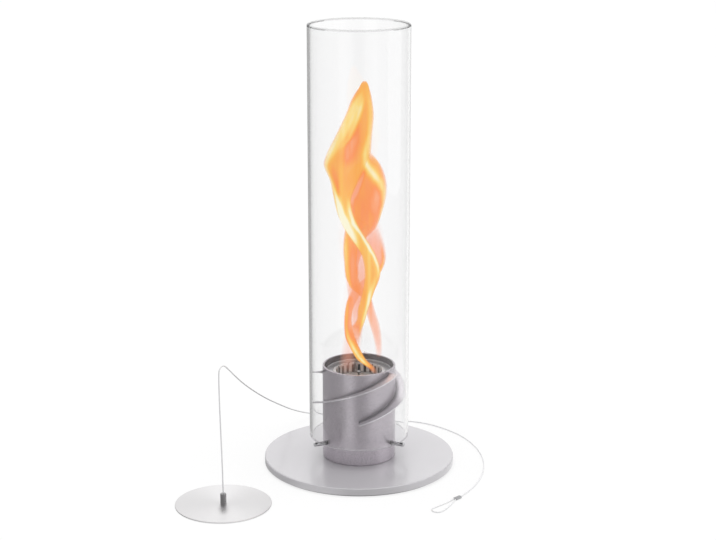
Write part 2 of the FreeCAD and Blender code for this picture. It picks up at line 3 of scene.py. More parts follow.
import bpy
import numpy as np
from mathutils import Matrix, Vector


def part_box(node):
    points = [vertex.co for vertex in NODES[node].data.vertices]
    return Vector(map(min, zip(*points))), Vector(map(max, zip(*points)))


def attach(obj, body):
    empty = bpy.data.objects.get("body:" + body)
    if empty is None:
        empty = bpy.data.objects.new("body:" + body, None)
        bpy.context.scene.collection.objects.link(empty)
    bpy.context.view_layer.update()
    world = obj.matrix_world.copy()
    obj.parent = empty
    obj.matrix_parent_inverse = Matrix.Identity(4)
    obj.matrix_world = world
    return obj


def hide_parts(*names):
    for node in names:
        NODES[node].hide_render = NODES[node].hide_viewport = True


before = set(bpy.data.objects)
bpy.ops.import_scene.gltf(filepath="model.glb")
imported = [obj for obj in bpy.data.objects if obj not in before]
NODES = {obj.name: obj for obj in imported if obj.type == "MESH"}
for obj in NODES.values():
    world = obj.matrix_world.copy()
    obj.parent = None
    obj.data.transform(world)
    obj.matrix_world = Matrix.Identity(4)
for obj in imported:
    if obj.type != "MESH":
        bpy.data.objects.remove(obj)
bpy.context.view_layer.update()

# Tabletop fireplace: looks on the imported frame. Metres, +Z up, -Y to the camera.
MM = 0.001


class Flow:
    """A socket in a node tree: arithmetic on it adds Math nodes, and node() adds a node of any other kind."""

    def __init__(self, tree, socket=None):
        self.tree = tree
        self.socket = socket

    def node(self, kind, settings=None, sockets=None, output=0):
        made = self.tree.nodes.new("ShaderNode" + kind)
        for key, value in (settings or {}).items():
            if key == "stops":
                self.set_stops(made.color_ramp.elements, value)
            else:
                setattr(made, key, value)
        for key, value in (sockets or {}).items():
            if isinstance(value, Flow):
                self.tree.links.new(value.socket, made.inputs[key])
            else:
                made.inputs[key].default_value = value
        return Flow(self.tree, made.outputs[output] if made.outputs else None)

    @staticmethod
    def set_stops(elements, stops):
        for place, _ in stops[1:-1]:
            elements.new(place)
        for element, (_, colour) in zip(elements, stops):
            element.color = (*colour, 1.0)

    def other(self, output):
        """Another output of the same node."""
        return Flow(self.tree, self.socket.node.outputs[output])

    def math(self, operation, first, second=0.0):
        return self.node("Math", {"operation": operation}, {0: first, 1: second})

    def bell(self, middle, width):
        """One round the middle, falling off smoothly at the width."""
        off = (self - middle) / width
        square = off * off
        return self.math("EXPONENT", square * square * -1.0)

    def __add__(self, other):
        return self.math("ADD", self, other)

    def __sub__(self, other):
        return self.math("SUBTRACT", self, other)

    def __rsub__(self, other):
        return self.math("SUBTRACT", other, self)

    def __mul__(self, other):
        return self.math("MULTIPLY", self, other)

    def __truediv__(self, other):
        return self.math("DIVIDE", self, other)

    __radd__ = __add__
    __rmul__ = __mul__


# Finishes

# Distances from the Z axis: a finish changes evenly from the first of each pair to the second
# Painted shade in the corners at the roots of the vanes
VANE_ROOT_SHADE_START = (44.2 * MM, 44.4 * MM)
VANE_ROOT_SHADE_END = (50.0 * MM, 44.4 * MM)
# Painted highlight: the vanes lighten towards their outer edges
VANE_EDGE_HIGHLIGHT = (47.0 * MM, 52.0 * MM)
# Darker inside the bore
BORE_DARKENING = (42.5 * MM, 41.5 * MM)
# Painted shade on the inside of the flame ring by its slots
RING_INSIDE_SHADE = (28.6 * MM, 28.4 * MM)
# Painted shade on the wool outside the flame ring
WOOL_OUTER_SHADE = (25.5 * MM, 28.5 * MM)
# Stains on steel and painted shade: such a pair, the colour, and the most that it covers
CAN_SOOT = ((40.0 * MM, 39.8 * MM), (0.02, 0.018, 0.016), 0.97)
LID_SOOT = ((29.9 * MM, 29.7 * MM), (0.02, 0.018, 0.016), 0.97)
# Painted shade at the roots of the pins, next to the housing
PIN_ROOT_SHADE = ((53.0 * MM, 44.5 * MM), (0.04, 0.035, 0.04), 0.9)
SPECK_SHARE = 0.6
CLOUD_SHARE = 0.4
BORE_DARK_LEAST = 0.45
BORE_DARK_CLOUDS = 0.4
STEEL_MARKS = 0.4 * MM
STEEL_BUMP = 0.01 * MM


def new_finish(name):
    material = bpy.data.materials.new(name)
    material.use_nodes = True
    material.node_tree.nodes.clear()
    return material, Flow(material.node_tree)


def shade(material, flow, sockets):
    """Principled surface with these sockets, put out by the material."""
    surface = flow.node("BsdfPrincipled", None, sockets)
    flow.node("OutputMaterial", None, {"Surface": surface})
    return material


def grain(flow, size, stretch=(1.0, 1.0, 1.0), detail=3.0):
    """Noise on object coordinates with grains of that size in metres, drawn out by stretch."""
    place = flow.node("TexCoord", None, None, "Object")
    scale = tuple(1.0 / (size * part) for part in stretch)
    place = flow.node("Mapping", None, {"Vector": place, "Scale": scale})
    return flow.node("TexNoise", None, {"Vector": place, "Scale": 1.0, "Detail": detail})


def own_place(flow):
    """X, Y and Z on the object."""
    x = flow.node("SeparateXYZ", None, {0: flow.node("TexCoord", None, None, "Object")})
    return x, x.other(1), x.other(2)


def mesh_fields(flow, *names):
    """Values that the mesh carries under these names."""
    return [flow.node("Attribute", {"attribute_name": name}, None, "Fac") for name in names]


def ramp(flow, value, start, end):
    """Nought where the value is at the start and one at the end, even between them."""
    return flow.node("MapRange", None, {"Value": value, "From Min": start, "From Max": end})


def off_axis(flow, start, end):
    """Nought at one distance from the object's Z axis and one at the other, even between them."""
    x, y, _ = own_place(flow)
    return ramp(flow, flow.math("SQRT", x * x + y * y), start, end)


def tint(flow, share, colour, over, most=1.0):
    """That colour laid over another by the share, and by no more than most."""
    sockets = {0: share * most, 6: over, 7: (*colour, 1.0)}
    return flow.node("Mix", {"data_type": "RGBA"}, sockets, 2)


def blend_colours(flow, share, first, second):
    """Colour that goes from first to second with the share."""
    return tint(flow, share, second, (*first, 1.0))


def lacquer_colour(flow, speck, cloud, dark, light):
    """Colour from dark to light, by fine specks and by broad clouds."""
    return blend_colours(flow, speck * SPECK_SHARE + cloud * CLOUD_SHARE, dark, light)


def bump(flow, height, depth):
    return flow.node("Bump", None, {"Height": height, "Distance": depth, "Strength": 1.0})


def plate_lacquer():
    material, flow = new_finish("plate_lacquer")
    speck, cloud = grain(flow, 0.6 * MM), grain(flow, 50.0 * MM)
    return shade(material, flow, {
        "Base Color": lacquer_colour(flow, speck, cloud, (0.60, 0.585, 0.61), (0.70, 0.685, 0.71)),
        "Metallic": 0.27,
        "Roughness": 0.28 + 0.12 * speck,
        "Coat Weight": 0.7,
        "Coat Roughness": 0.18,
        "Normal": bump(flow, speck, 0.04 * MM),
    })


def housing_lacquer():
    """Metallic lacquer with a fine sparkle. Painted shade darkens the corners at the roots of the vanes, a
    painted highlight lightens the vanes towards their edges, and the bore is darker inside, in patches."""
    material, flow = new_finish("cast_housing")
    speck, cloud = grain(flow, 0.5 * MM), grain(flow, 30.0 * MM)
    colour = lacquer_colour(flow, speck, cloud, (0.54, 0.495, 0.54), (0.68, 0.63, 0.685))
    # Painted shade darkens the corners at the roots of the vanes
    vane_root_shade = off_axis(flow, *VANE_ROOT_SHADE_START) * off_axis(flow, *VANE_ROOT_SHADE_END)
    colour = tint(flow, vane_root_shade, (0.08, 0.07, 0.08), colour, most=0.9)
    # Painted highlight on the vanes towards their edges
    colour = tint(flow, off_axis(flow, *VANE_EDGE_HIGHLIGHT), (0.96, 0.93, 0.97), colour, most=0.9)
    # Darker inside the bore, in patches by the clouds
    heat = off_axis(flow, *BORE_DARKENING) * (BORE_DARK_LEAST + BORE_DARK_CLOUDS * cloud)
    return shade(material, flow, {
        "Base Color": tint(flow, heat, (0.05, 0.045, 0.045), colour),
        "Metallic": 0.65,
        "Roughness": 0.22 + 0.12 * speck,
        "Normal": bump(flow, speck, 0.03 * MM),
    })


def steel(name, dark, light, roughness, stain_and_shade=None, metallic=1.0, brushed=0.0):
    """Bare metal with fine marks, darkened by the distance from the Z axis: soot on the can and the lid,
    painted shade at the roots of the pins; brushed draws its shine out round the piece."""
    material, flow = new_finish(name)
    marks = grain(flow, STEEL_MARKS)
    colour = blend_colours(flow, marks, dark, light)
    if stain_and_shade:
        reach, stain_and_shade_colour, most = stain_and_shade
        colour = tint(flow, off_axis(flow, *reach), stain_and_shade_colour, colour, most)
    return shade(material, flow, {
        "Base Color": colour,
        "Metallic": metallic,
        "Roughness": roughness + 0.15 * marks,
        "Anisotropic": brushed,
        "Normal": bump(flow, marks, STEEL_BUMP),
    })


RING_SLOTS = 24
# Painted shade on the inside of the ring sets in between these cosines of the turn from a slot, and these
# depths under the top
SLOT_BESIDE = (-0.1, 0.35)
SLOT_BELOW = (1.6 * MM, 2.4 * MM)
RING_PATCHES = (0.34, 0.46)


def ring_steel():
    """Stainless sheet stained in patches by the flame, with black painted shade on its inside beside and
    below its slots.
    """
    material, flow = new_finish("ring_steel")
    x, y, z = own_place(flow)
    beside = ramp(flow, flow.math("COSINE", flow.math("ARCTAN2", y, x) * RING_SLOTS), *SLOT_BESIDE)
    below = ramp(flow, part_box("flame_ring")[1][2] - z, *SLOT_BELOW)
    # Painted shade: black on the inside of the ring beside and below the slots
    slot_shade = beside * below * off_axis(flow, *RING_INSIDE_SHADE)
    patch = ramp(flow, grain(flow, 4.0 * MM, (1.0, 1.0, 8.0)), *RING_PATCHES)
    stained = blend_colours(flow, patch, (0.16, 0.15, 0.16), (0.97, 0.97, 0.98))
    return shade(material, flow, {
        "Base Color": tint(flow, slot_shade, (0.02, 0.018, 0.018), stained, most=0.95),
        "Metallic": 0.3,
        "Roughness": 0.22 + 0.10 * patch,
        "Normal": bump(flow, grain(flow, STEEL_MARKS), STEEL_BUMP),
    })


def clear_glass():
    """Clear glass whose wall takes a little light away. Its lips are ground: pale, and partly seen
    through."""
    material, flow = new_finish("clear_glass")
    lip, pale = mesh_fields(flow, "lip", "pale")
    clear = flow.node("BsdfPrincipled", None, {
        "Base Color": (1.0, 1.0, 1.0, 1.0),
        "Roughness": 0.0,
        "IOR": 1.47,
        "Transmission Weight": 1.0,
    })
    ground = flow.node("BsdfPrincipled", None, {
        "Base Color": (0.92, 0.92, 0.93, 1.0),
        "Roughness": 0.4,
        "Alpha": pale,
    })
    surface = flow.node("MixShader", None, {0: lip, 1: clear, 2: ground})
    inside = flow.node("VolumeAbsorption", None, {"Color": (0.86, 0.86, 0.865, 1.0), "Density": 55.0})
    flow.node("OutputMaterial", None, {"Surface": surface, "Volume": inside})
    return material


def pad_rubber():
    material, flow = new_finish("pad_rubber")
    speck = grain(flow, 0.8 * MM)
    return shade(material, flow, {
        "Base Color": blend_colours(flow, speck, (0.03, 0.03, 0.033), (0.06, 0.06, 0.065)),
        "Roughness": 0.7 + 0.2 * speck,
        "Normal": bump(flow, speck, 0.1 * MM),
    })


def wick_wool():
    """Matted fibres, black with painted shade outside the flame ring."""
    material, flow = new_finish("wick_wool")
    fibres = grain(flow, 2.0 * MM, (1.0, 3.0, 1.0), 6.0)
    wool = blend_colours(flow, fibres, (0.55, 0.54, 0.52), (0.85, 0.84, 0.82))
    return shade(material, flow, {
        # Painted shade makes the wool black outside the flame ring
        "Base Color": tint(flow, off_axis(flow, *WOOL_OUTER_SHADE), (0.03, 0.026, 0.022), wool, most=0.95),
        "Roughness": 0.9,
        "Normal": bump(flow, fibres, 0.5 * MM),
    })


FLAME_COLOURS = [
    (0.0, (1.0, 0.37, 0.22)),
    (0.16, (1.0, 0.38, 0.17)),
    (0.28, (1.0, 0.29, 0.07)),
    (0.42, (1.0, 0.41, 0.08)),
    (0.55, (1.0, 0.51, 0.10)),
    (0.76, (1.0, 0.72, 0.22)),
    (1.0, (1.0, 0.95, 0.70)),
]
STREAK_WARMTH = 0.30
STREAK_COVER = 0.10


def flame_light():
    """Glowing gas: colour from the sheet's warmth, and cover from its body, both streaked along the sheet."""
    material, flow = new_finish("flame_light")
    warmth, body, across, along = mesh_fields(flow, "warmth", "body", "across", "along")
    place = flow.node("CombineXYZ", None, {0: across, 1: along})
    streak = flow.node("TexNoise", None, {"Vector": place, "Scale": 1.0, "Detail": 2.0}) - 0.5
    heat = warmth + streak * STREAK_WARMTH
    return shade(material, flow, {
        "Base Color": (0.0, 0.0, 0.0, 1.0),
        "Roughness": 1.0,
        "Specular IOR Level": 0.0,
        "Emission Color": flow.node("ValToRGB", {"stops": FLAME_COLOURS}, {"Fac": heat}),
        "Emission Strength": 1.0,
        "Alpha": body + streak * STREAK_COVER,
    })


# Meshes

def sheet_mesh(name, points, wrap_along=False, wrap_across=False, fields=None):
    """Mesh of a grid of points (rows along, columns across), or of a row of such grids, closed where it
    wraps, with fields as attributes."""
    index = np.arange(points.size // 3).reshape(points.shape[:-1])
    if wrap_along:
        index = np.concatenate([index, index[..., :1, :]], -2)
    if wrap_across:
        index = np.concatenate([index, index[..., :1]], -1)
    near, far = index[..., :-1, :], index[..., 1:, :]
    corners = np.stack([near[..., :-1], far[..., :-1], far[..., 1:], near[..., 1:]], -1)
    mesh = bpy.data.meshes.new(name)
    mesh.from_pydata(points.reshape(-1, 3), [], corners.reshape(-1, 4))
    mesh.shade_smooth()
    for key, values in (fields or {}).items():
        layer = mesh.attributes.new(key, "FLOAT", "POINT")
        layer.data.foreach_set("value", values.astype(np.float32).ravel())
    piece = bpy.data.objects.new(name, mesh)
    bpy.context.scene.collection.objects.link(piece)
    return piece


def wear(piece, material):
    piece.data.materials.append(material)
    return piece


def eased(keys, steps):
    """Rows of keys joined by a smooth curve through them: each stretch is a cubic whose slopes are those of
    the line from the row before to the row after."""
    keys = np.asarray(keys, float)
    slopes = np.gradient(keys, axis=0)
    place = np.linspace(0, len(keys) - 1, steps)
    low = np.minimum(place.astype(int), len(keys) - 2)
    share = (place - low)[:, None]
    a, b = keys[low], keys[low + 1]
    sa, sb = slopes[low], slopes[low + 1]
    square, cube = share**2, share**3
    return (
        a * (2 * cube - 3 * square + 1)
        + b * (3 * square - 2 * cube)
        + sa * (cube - 2 * square + share)
        + sb * (cube - square)
    )


# Camera, as the photograph was taken

CAMERA_BACK = 1.9599
CAMERA_UP = 0.7787
CAMERA_DOWN = 15.321
CAMERA_LENS = 85.88
PHOTO_WIDTH = 716
CAMERA_SHIFT_X = -1.0 / PHOTO_WIDTH
CAMERA_SHIFT_Y = 0.5 / PHOTO_WIDTH


def place_camera():
    camera = bpy.data.objects.new("camera", bpy.data.cameras.new("camera"))
    camera.data.lens = CAMERA_LENS
    camera.data.shift_x = CAMERA_SHIFT_X
    camera.data.shift_y = CAMERA_SHIFT_Y
    camera.location = (0.0, -CAMERA_BACK, CAMERA_UP)
    camera.rotation_euler = (math.radians(90.0 - CAMERA_DOWN), 0.0, 0.0)
    bpy.context.scene.collection.objects.link(camera)
    bpy.context.scene.camera = camera


# Snuffer cable

CABLE_RADIUS = 0.75 * MM
CABLE_STRANDS = 6
CABLE_LAY = 9.0 * MM
CABLE_SIDES = 24
# How deep the grooves between the strands are, as a share of the radius
CABLE_GROOVE = 0.12
ROUTE_STEPS = 36
CABLE_ROUTE = [
    (-0.1560, -0.1353, 0.0135),
    (-0.1563, -0.1352, 0.0500),
    (-0.1574, -0.1355, 0.0950),
    (-0.1581, -0.1354, 0.1340),
    (-0.1581, -0.1352, 0.1598),
    (-0.1568, -0.1331, 0.1635),
    (-0.1546, -0.1296, 0.1654),
    (-0.1522, -0.1259, 0.1647),
    (-0.1474, -0.1183, 0.1568),
    (-0.1429, -0.1070, 0.1470),
    (-0.1342, -0.0800, 0.1271),
    (-0.1221, -0.0320, 0.0989),
    (-0.1102, 0.0180, 0.0723),
    (-0.0984, 0.0660, 0.0484),
    (-0.0892, 0.1080, 0.0283),
    (-0.0776, 0.1400, 0.0127),
    (-0.0629, 0.1585, 0.0032),
    (-0.0430, 0.1625, 0.0008),
    (-0.0160, 0.1575, 0.0008),
    (0.0170, 0.1480, 0.0008),
    (0.0500, 0.1370, 0.0008),
    (0.0670, 0.1366, 0.0008),
    (0.0900, 0.1265, 0.0008),
    (0.1130, 0.1060, 0.0008),
    (0.1325, 0.0800, 0.0008),
    (0.1460, 0.0460, 0.0008),
    (0.1526, 0.0100, 0.0008),
    (0.1523, -0.0270, 0.0008),
    (0.1440, -0.0640, 0.0008),
    (0.1305, -0.0970, 0.0008),
    (0.1173, -0.1171, 0.0015),
]
LOOP_ROUTE = [
    (0.1102, -0.1228, 0.0015),
    (0.1046, -0.1294, 0.0010),
    (0.0965, -0.1376, 0.0008),
    (0.0886, -0.1449, 0.0008),
    (0.0829, -0.1507, 0.0008),
    (0.0829, -0.1567, 0.0008),
    (0.0875, -0.1605, 0.0008),
    (0.0933, -0.1595, 0.0008),
    (0.0986, -0.1526, 0.0008),
    (0.1042, -0.1416, 0.0008),
    (0.1092, -0.1310, 0.0010),
    (0.1118, -0.1243, 0.0015),
]
# A direction that the cable never runs in, which its strands are counted from
CABLE_SIDE = (-0.62, 0.35, 0.70)


def route_line(name, route):
    """Points of the smooth spline whose control points are the route's."""
    curve = bpy.data.curves.new(name, "CURVE")
    curve.dimensions = "3D"
    curve.resolution_u = ROUTE_STEPS
    spline = curve.splines.new("NURBS")
    spline.points.add(len(route) - 1)
    spline.points.foreach_set("co", [part for point in route for part in (*point, 1.0)])
    spline.order_u = 3
    spline.use_endpoint_u = True
    holder = bpy.data.objects.new(name, curve)
    line = bpy.data.meshes.new_from_object(holder)
    points = np.empty(len(line.vertices) * 3)
    line.vertices.foreach_get("co", points)
    bpy.data.objects.remove(holder)
    bpy.data.meshes.remove(line)
    bpy.data.curves.remove(curve)
    return points.reshape(-1, 3)


def wire_rope(name, line):
    """Tube along a line whose round section has one rounded lobe for each strand. The lobes turn once in
    each lay length, so that the strands lie in helices."""
    runs = np.linalg.norm(np.diff(line, axis=0), axis=1)
    along = np.concatenate([[0.0], np.cumsum(runs)])
    ahead = np.gradient(line, axis=0)
    ahead /= np.linalg.norm(ahead, axis=1, keepdims=True)
    side = np.cross(ahead, CABLE_SIDE)
    side /= np.linalg.norm(side, axis=1, keepdims=True)
    up = np.cross(side, ahead)
    angle = np.linspace(0, 2 * np.pi, CABLE_SIDES, endpoint=False)
    turn = 2 * np.pi * along[:, None] / CABLE_LAY
    lobe = np.abs(np.cos(CABLE_STRANDS / 2 * (angle[None, :] - turn)))
    radius = (CABLE_RADIUS * (1 - CABLE_GROOVE * (1 - lobe)))[..., None]
    ring = np.cos(angle)[None, :, None] * side[:, None, :] + np.sin(angle)[None, :, None] * up[:, None, :]
    return sheet_mesh(name, line[:, None, :] + radius * ring, wrap_across=True)


def cable_piece(name, route, node, finish):
    """Rope along the route in place of a node, on the snuffer."""
    line = route_line(name + "_route", route)
    piece = wear(wire_rope(name, line), finish)
    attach(piece, "snuffer")
    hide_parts(node)


# Glass

GLASS_WALL = 3.0 * MM
GLASS_STEPS = 256
LIP_STEPS = 9
WALL_STEPS = 12
LIP_PALE = 0.3
FOOT_PALE = 0.22


def glass_tube(finish):
    """Wall of a tube with half-round lips, turned about Z: up the outside, over the lip, down the inside and
    round the foot."""
    low, high = np.array(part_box("glass_cylinder"))
    half = GLASS_WALL / 2
    outer = high[0]
    middle = outer - half
    bend = np.linspace(0, np.pi, LIP_STEPS)
    lip = np.stack([middle + half * np.cos(bend), high[2] - half + half * np.sin(bend)], -1)
    foot = np.stack([middle - half * np.cos(bend), low[2] + half - half * np.sin(bend)], -1)
    rise = np.linspace(low[2] + GLASS_WALL, high[2] - GLASS_WALL, WALL_STEPS)
    inside = np.stack([np.full(WALL_STEPS, outer - GLASS_WALL), rise[::-1]], -1)
    outside = np.stack([np.full(WALL_STEPS, outer), rise], -1)
    profile = np.vstack([lip, inside, foot, outside])
    angle = np.linspace(0, 2 * np.pi, GLASS_STEPS, endpoint=False)[:, None]
    radius, height = profile[:, 0][None, :], profile[:, 1][None, :]
    points = np.stack([radius * np.cos(angle), radius * np.sin(angle), height + 0 * angle], -1)
    steps = [LIP_STEPS, WALL_STEPS, LIP_STEPS, WALL_STEPS]
    fields = {
        "lip": np.repeat([1.0, 0.0, 1.0, 0.0], steps) + 0 * angle,
        "pale": np.repeat([LIP_PALE, LIP_PALE, FOOT_PALE, FOOT_PALE], steps) + 0 * angle,
    }
    piece = wear(sheet_mesh("glass_tube", points, True, True, fields), finish)
    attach(piece, "glass")
    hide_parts("glass_cylinder")


# Wick: a wad of wool in the can under a round of woven wire

WAD_STEPS = 128
WAD_ROWS = 73
WAD_SQUARE = 0.22
WAD_LUMP = 0.9 * MM
WAD_DIMPLE = 4.6 * MM
WAD_DIMPLE_REACH = 4.5 * MM


def wool_wad(finish):
    """Rounded drum: both the radius and the height are a low power of a cosine and a sine, so that its sides
    are nearly straight and its corners soft. Waves of three lengths make it lumpy, and its top dips under
    the knob."""
    low, high = np.array(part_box("wick_wool"))
    swing = np.linspace(-np.pi / 2, np.pi / 2, WAD_ROWS)[None, :]
    angle = np.linspace(0, 2 * np.pi, WAD_STEPS, endpoint=False)[:, None]
    out = np.clip(np.cos(swing), 0, 1) ** WAD_SQUARE
    out[:, [0, -1]] = 0.0
    rise = np.sign(swing) * np.abs(np.sin(swing)) ** WAD_SQUARE
    across, along = np.cos(angle) * out, np.sin(angle) * out
    broad = np.sin(9 * across + 4 * rise) * np.cos(8 * along - 3 * rise)
    short = 0.6 * np.sin(21 * across - 13 * along + 9 * rise)
    fine = 0.4 * np.cos(34 * along + 27 * across)
    inset = WAD_LUMP * (1 + (broad + short + fine) / 2)
    radius = (high[0] - inset) * out
    middle, half = (high[2] + low[2]) / 2, (high[2] - low[2]) / 2
    dimple = WAD_DIMPLE * np.exp(-((radius / WAD_DIMPLE_REACH) ** 2)) * (rise > 0)
    height = middle + (half - inset) * rise - dimple
    points = np.stack([radius * np.cos(angle), radius * np.sin(angle), height], -1)
    piece = wear(sheet_mesh("wool_wad", points, True), finish)
    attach(piece, "fuel_can")
    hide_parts("wick_wool")


WIRE_PITCH = 1.4 * MM
WIRE_RADIUS = 0.15 * MM
WIRE_STEPS = 161
WIRE_SIDES = 5
SHANK_ROOM = 1.8 * MM
SHANK_BOW = 4.0 * MM


def woven_wire(finish):
    """Round of wires one way and wires the other way. Each is a tube along a wave that passes over one wire
    and under the next, and those at the middle bow out round the knob's shank."""
    low, high = np.array(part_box("wick_mesh"))
    reach = high[0]
    count = int(reach / WIRE_PITCH)
    place = (np.arange(-count, count) + 0.5)[:, None] * WIRE_PITCH
    run = np.linspace(-1, 1, WIRE_STEPS)[None, :] * np.sqrt(reach**2 - place**2)
    bow = SHANK_ROOM**2 * np.exp(-((run / SHANK_BOW) ** 2))
    side = np.sign(place) * np.sqrt(place**2 + bow * np.exp(-((place / SHANK_BOW) ** 2)))
    lift = (high[2] - low[2]) / 2 - WIRE_RADIUS
    turn = (-1.0) ** np.arange(2 * count)[:, None]
    wave = lift * turn * np.sin(np.pi * run / WIRE_PITCH)
    thick = np.full(WIRE_STEPS, WIRE_RADIUS)
    thick[[0, -1]] = 0.0
    angle = np.linspace(0, 2 * np.pi, WIRE_SIDES, endpoint=False)
    outward = thick[None, :, None] * np.cos(angle)
    upward = thick[None, :, None] * np.sin(angle)
    middle = (high[2] + low[2]) / 2
    run = run[..., None] + 0 * outward
    one_way = np.stack([run, side[..., None] - outward, middle + wave[..., None] + upward], -1)
    other_way = np.stack([side[..., None] + outward, run, middle - wave[..., None] + upward], -1)
    piece = wear(sheet_mesh("woven_wire", np.concatenate([one_way, other_way]), False, True), finish)
    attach(piece, "fuel_can")
    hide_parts("wick_mesh")


# Flame: three strands of burning gas wind round each other, with a thin veil and a wisp behind them. Each row
# gives the height, the left and right edge and the depth in millimetres, how dense the gas is, and how hot.

FLAME_STRANDS = {
    "flame_leaf": [
        (144.0, -6.8, 0.2, 2.0, 0.00, 0.15),
        (157.0, -10.8, 1.7, 2.0, 0.55, 0.15),
        (169.0, -11.4, 3.6, 0.0, 0.75, 0.20),
        (182.0, -2.2, 7.0, -4.0, 0.90, 0.40),
        (196.0, -0.8, 10.6, -5.0, 0.92, 0.46),
        (216.0, 4.4, 17.3, -5.0, 0.95, 0.50),
        (240.0, 7.1, 25.0, -6.0, 0.95, 0.50),
        (266.0, 2.7, 18.6, -13.0, 0.95, 0.52),
        (292.0, -14.0, 3.6, -15.0, 0.97, 0.60),
        (313.0, -24.1, -7.0, -13.0, 0.97, 0.58),
        (332.0, -28.9, -9.5, -10.0, 0.97, 0.48),
        (352.0, -33.3, -1.0, -6.0, 0.97, 0.45),
        (365.0, -39.2, 5.0, -3.0, 0.97, 0.45),
        (373.0, -41.0, 8.7, -1.0, 0.97, 0.45),
        (385.0, -37.1, 13.4, 0.0, 0.97, 0.44),
        (404.0, -27.6, 14.9, 0.0, 0.97, 0.42),
        (429.0, -15.6, 16.8, 0.0, 0.97, 0.45),
        (448.0, -8.0, 14.6, 0.0, 0.97, 0.48),
        (461.0, 0.2, 11.4, 0.0, 0.97, 0.45),
        (466.5, 3.4, 9.2, 0.0, 0.95, 0.42),
        (469.0, 5.6, 7.4, 0.0, 0.60, 0.35),
    ],
    "flame_fold": [
        (133.0, 20.8, 27.7, 4.0, 0.00, 0.00),
        (140.0, 20.2, 27.7, 3.5, 0.42, 0.00),
        (149.0, 19.3, 27.5, 3.0, 0.60, 0.02),
        (162.0, 16.5, 26.5, 2.0, 0.68, 0.04),
        (176.0, 12.4, 24.1, 2.0, 0.72, 0.08),
        (190.0, 8.6, 19.4, 3.0, 0.76, 0.12),
        (202.0, 5.6, 15.8, 4.0, 0.80, 0.18),
        (212.0, -1.1, 13.1, 3.0, 0.85, 0.24),
        (221.0, -9.7, 5.2, 0.0, 0.86, 0.22),
        (233.0, -14.9, -0.8, -3.0, 0.90, 0.22),
        (241.0, -16.4, -0.9, -2.0, 0.92, 0.24),
        (252.0, -17.2, -0.3, 1.0, 0.93, 0.26),
        (266.0, -18.5, 5.0, 5.0, 0.94, 0.29),
        (279.0, -17.9, 8.4, 10.0, 0.94, 0.32),
        (292.0, -16.0, 20.6, 14.0, 0.96, 0.31),
        (313.0, -12.4, 28.3, 14.0, 0.97, 0.31),
        (332.0, -18.0, 32.5, 14.0, 0.97, 0.31),
        (349.0, -16.0, 32.0, 15.0, 0.97, 0.33),
        (364.0, -8.0, 27.0, 15.0, 0.97, 0.42),
        (374.0, 4.7, 21.1, 11.0, 0.92, 0.44),
        (383.0, 6.4, 15.0, 7.0, 0.60, 0.44),
        (393.0, 4.7, 13.4, 4.0, 0.00, 0.44),
    ],
    "flame_foot": [
        (112.0, 15.6, 23.0, 4.0, 0.00, 0.20),
        (119.5, 11.6, 19.6, 1.0, 0.60, 0.24),
        (126.5, 5.0, 13.9, -4.0, 0.90, 0.38),
        (134.5, -2.6, 7.2, -8.0, 1.00, 0.46),
        (149.0, -10.2, 0.1, -10.0, 1.00, 0.42),
        (161.0, -15.8, -5.0, -7.0, 0.98, 0.28),
        (176.0, -17.3, -9.0, -2.0, 0.92, 0.22),
        (190.0, -16.5, -8.4, 3.0, 0.90, 0.25),
        (203.0, -13.8, -2.9, 8.0, 0.90, 0.26),
        (214.0, -8.3, 4.7, 11.0, 0.88, 0.24),
        (225.0, 1.8, 17.1, 11.0, 0.88, 0.18),
        (238.0, 13.4, 25.8, 8.0, 0.88, 0.14),
        (251.0, 12.0, 31.0, 6.0, 0.84, 0.08),
        (264.0, 9.0, 31.9, 5.0, 0.78, 0.04),
        (277.0, 7.0, 29.1, 6.0, 0.72, 0.03),
        (290.0, 10.0, 25.0, 8.0, 0.55, 0.05),
        (303.0, 16.0, 24.0, 11.0, 0.00, 0.10),
    ],
    "flame_veil": [
        (138.0, -6.0, 2.0, 9.0, 0.00, 0.00),
        (158.0, -10.0, 4.0, 10.0, 0.45, 0.02),
        (180.0, -12.0, 6.0, 11.0, 0.62, 0.04),
        (205.0, -13.0, 12.0, 12.0, 0.80, 0.06),
        (230.0, -16.0, 22.0, 13.0, 0.74, 0.06),
        (255.0, -18.0, 30.0, 14.0, 0.62, 0.04),
        (280.0, -16.0, 30.0, 15.0, 0.40, 0.02),
        (304.0, -12.0, 26.0, 16.0, 0.00, 0.00),
    ],
    "flame_wisp": [
        (112.0, -24.0, -4.0, 10.0, 0.00, 0.02),
        (126.0, -24.0, -4.0, 8.0, 0.30, 0.02),
        (142.0, -21.0, -4.0, 4.0, 0.40, 0.02),
        (162.0, -18.0, -5.0, 2.0, 0.30, 0.02),
        (186.0, -16.0, -6.0, 2.0, 0.00, 0.02),
    ],
}
